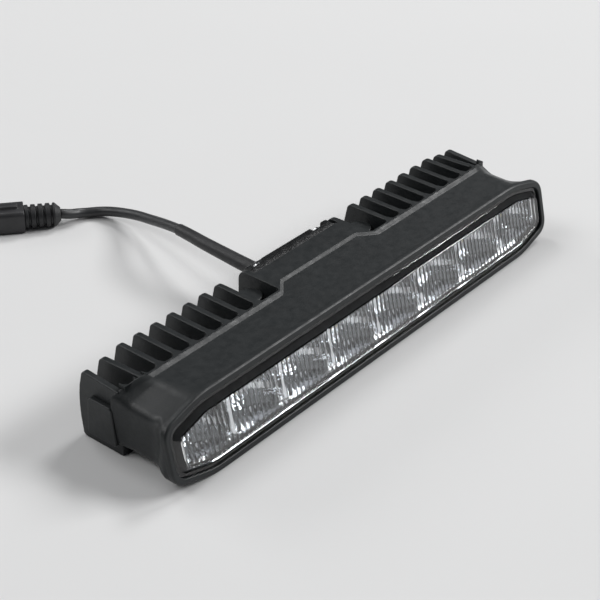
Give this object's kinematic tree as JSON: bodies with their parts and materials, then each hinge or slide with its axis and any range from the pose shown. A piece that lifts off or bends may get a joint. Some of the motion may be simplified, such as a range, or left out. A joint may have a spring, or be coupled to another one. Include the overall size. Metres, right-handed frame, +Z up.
{
  "type": "driving light",
  "caption": "Slim bar-shaped driving light: clear raised lens over a row of reflector cups, finned black housing with leaning front, rear driver block and cable with connector.",
  "frame": {"origin": "on the flat underside, in the middle of the light's length and depth, without the cable and its gland", "axes": "+X along the bar to the right as seen from the front, +Y to the rear where the cable leaves, +Z up; the light shines towards -Y and leans back"},
  "size_m": [0.27, 0.2261, 0.0353],
  "materials": {
    "housing": "cast, matte black powder coat",
    "lens": "clear hard-coated polycarbonate",
    "gasket": "matte black rubber",
    "reflector": "vacuum-metallised, fluted",
    "circuit_board": "green solder mask",
    "led_chip": "phosphor",
    "led_dome": "clear silicone",
    "thermal_pad": "matte grey",
    "steel": "bare stainless steel",
    "ferrite": "dark grey ferrite",
    "capacitor": "satin can",
    "chip_case": "matte black",
    "red_wire": "smooth insulation",
    "black_wire": "smooth insulation",
    "cover": "cast, rough matte black",
    "black_plastic": "matte black",
    "sleeve": "shrunk polyolefin, dull",
    "cable": "smooth black jacket",
    "boot": "satin black rubber",
    "connector": "moulded, matte black",
    "orange_seal": "silicone",
    "pins": "tin-plated brass"
  },
  "bodies": {
    "root": {"housing": "housing", "lens": "lens", "lens_gasket": "gasket", "reflector": "reflector", "led_board": "circuit_board", "led_chip_1": "led_chip", "led_chip_2": "led_chip", "led_chip_3": "led_chip", "led_chip_4": "led_chip", "led_chip_5": "led_chip", "led_chip_6": "led_chip", "led_chip_7": "led_chip", "led_chip_8": "led_chip", "led_dome_1": "led_dome", "led_dome_2": "led_dome", "led_dome_3": "led_dome", "led_dome_4": "led_dome", "led_dome_5": "led_dome", "led_dome_6": "led_dome", "led_dome_7": "led_dome", "led_dome_8": "led_dome", "thermal_pad": "thermal_pad", "board_screws": "steel", "driver_board": "circuit_board", "driver_inductor": "ferrite", "driver_capacitors": "capacitor", "driver_controller": "chip_case", "driver_transistor": "chip_case", "driver_screws": "steel", "link_wires": "red_wire", "supply_wires": "black_wire", "rear_cover": "cover", "cover_gasket": "gasket", "cover_screws": "steel", "breather_vent": "black_plastic", "gland_body": "black_plastic", "gland_nut": "black_plastic", "gland_seal": "gasket", "cable_sleeve": "sleeve", "cable": "cable", "connector_boot": "boot", "connector_body": "connector", "connector_seal": "orange_seal", "connector_contacts": "pins"}
  },
  "joints": []
}
